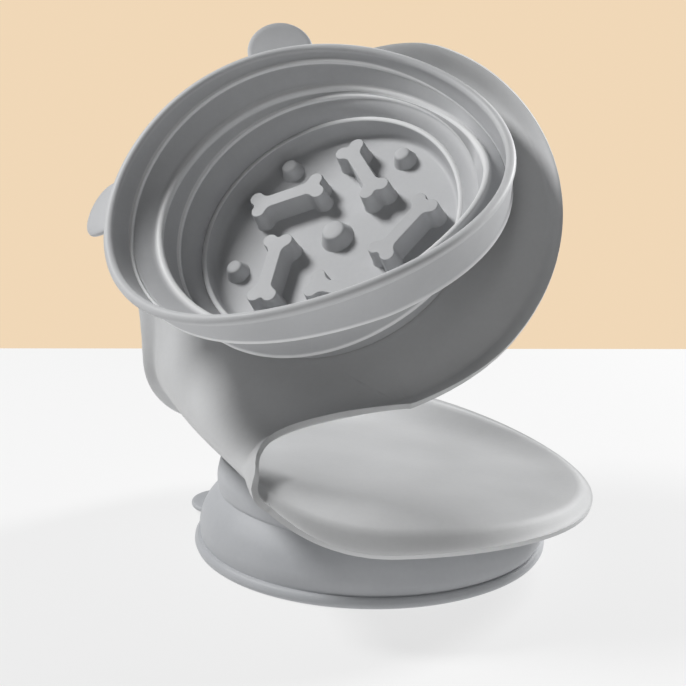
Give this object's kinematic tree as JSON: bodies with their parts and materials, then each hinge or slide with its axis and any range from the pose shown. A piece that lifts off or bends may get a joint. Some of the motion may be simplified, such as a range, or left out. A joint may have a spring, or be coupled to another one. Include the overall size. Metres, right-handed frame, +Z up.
{
  "type": "collapsible pet bowl",
  "caption": "Flexible silicone feeding mat folded at its waist, with a collapsible slow-feeding bowl on one lobe and a plain collapsible bowl on the other.",
  "frame": {"origin": "centre of the folded part’s bounding box at table level", "axes": "+Z up from the table; -Y towards the viewer of the picture; +X to its right"},
  "size_m": [0.2698, 0.2524, 0.2647],
  "materials": {
    "mat": "matte",
    "bowl_upper": "matte",
    "bowl_lower": "matte",
    "bumps": "matte"
  },
  "bodies": {
    "lower": {"mat_lower_lobe": "mat", "mat_lower_neck": "mat", "bowl_b_dish": "bowl_lower"},
    "waist_1": {"mat_waist_1": "mat"},
    "waist_2": {"mat_waist_2": "mat"},
    "waist_3": {"mat_waist_3": "mat"},
    "upper": {"mat_upper_lobe": "mat", "mat_upper_neck": "mat", "bowl_a_dish": "bowl_upper", "bone_1": "bumps", "bone_2": "bumps", "bone_3": "bumps", "bone_4": "bumps", "bone_5": "bumps", "peg_1": "bumps", "peg_2": "bumps", "peg_3": "bumps", "peg_4": "bumps"},
    "a_band_1": {"bowl_a_band_1": "bowl_upper"},
    "a_band_2": {"bowl_a_band_2": "bowl_upper"},
    "a_rim": {"bowl_a_rim": "bowl_upper", "bowl_a_ear_1": "bowl_upper", "bowl_a_ear_2": "bowl_upper"},
    "b_band_1": {"bowl_b_band_1": "bowl_lower"},
    "b_band_2": {"bowl_b_band_2": "bowl_lower"},
    "b_rim": {"bowl_b_rim": "bowl_lower", "bowl_b_ear_1": "bowl_lower", "bowl_b_ear_2": "bowl_lower"}
  },
  "joints": [
    {"name": "fold", "type": "hinge", "parent": "lower", "child": "upper", "pos_m": [-0.06204, -0.04425, 0.06047], "axis": [0.4135, -0.8852, -0.213], "range_deg": [0, 125]},
    {"name": "fold_waist_1", "type": "hinge", "parent": "lower", "child": "waist_1", "pos_m": [-0.06204, -0.04425, 0.06047], "axis": [0.4135, -0.8852, -0.213], "range_deg": [0, 27.5]},
    {"name": "fold_waist_2", "type": "hinge", "parent": "lower", "child": "waist_2", "pos_m": [-0.06204, -0.04425, 0.06047], "axis": [0.4135, -0.8852, -0.213], "range_deg": [0, 75]},
    {"name": "fold_waist_3", "type": "hinge", "parent": "lower", "child": "waist_3", "pos_m": [-0.06204, -0.04425, 0.06047], "axis": [0.4135, -0.8852, -0.213], "range_deg": [0, 90]},
    {"name": "a_band_1_collapse", "type": "hinge", "parent": "upper", "child": "a_band_1", "pos_m": [0.05372, 0.06087, 0.22871], "axis": [0.6587, -0.6972, -0.283], "range_deg": [0, 5.84]},
    {"name": "a_band_2_collapse", "type": "hinge", "parent": "upper", "child": "a_band_2", "pos_m": [0.05372, 0.06087, 0.22871], "axis": [0.6587, -0.6972, -0.283], "range_deg": [0, 9.15]},
    {"name": "a_rim_collapse", "type": "hinge", "parent": "upper", "child": "a_rim", "pos_m": [0.05372, 0.06087, 0.22871], "axis": [0.6587, -0.6972, -0.283], "range_deg": [0, 14.5]},
    {"name": "b_band_1_collapse", "type": "hinge", "parent": "lower", "child": "b_band_1", "pos_m": [0.15815, 0.13543, 0], "axis": [-0.6717, 0.7408, 0], "range_deg": [0, 3.04]},
    {"name": "b_band_2_collapse", "type": "hinge", "parent": "lower", "child": "b_band_2", "pos_m": [0.15815, 0.13543, 0], "axis": [-0.6717, 0.7408, 0], "range_deg": [0, 5.23]},
    {"name": "b_rim_collapse", "type": "hinge", "parent": "lower", "child": "b_rim", "pos_m": [0.15815, 0.13543, 0], "axis": [-0.6717, 0.7408, 0], "range_deg": [0, 7.8]}
  ],
  "couplings": [
    {"joint": "fold_waist_1", "follows": "fold", "ratio": 0.22},
    {"joint": "fold_waist_2", "follows": "fold", "ratio": 0.6},
    {"joint": "fold_waist_3", "follows": "fold", "ratio": 0.72},
    {"joint": "a_band_1_collapse", "follows": "a_rim_collapse", "ratio": 0.40313},
    {"joint": "a_band_2_collapse", "follows": "a_rim_collapse", "ratio": 0.63125},
    {"joint": "b_band_1_collapse", "follows": "b_rim_collapse", "ratio": 0.38991},
    {"joint": "b_band_2_collapse", "follows": "b_rim_collapse", "ratio": 0.67087}
  ]
}
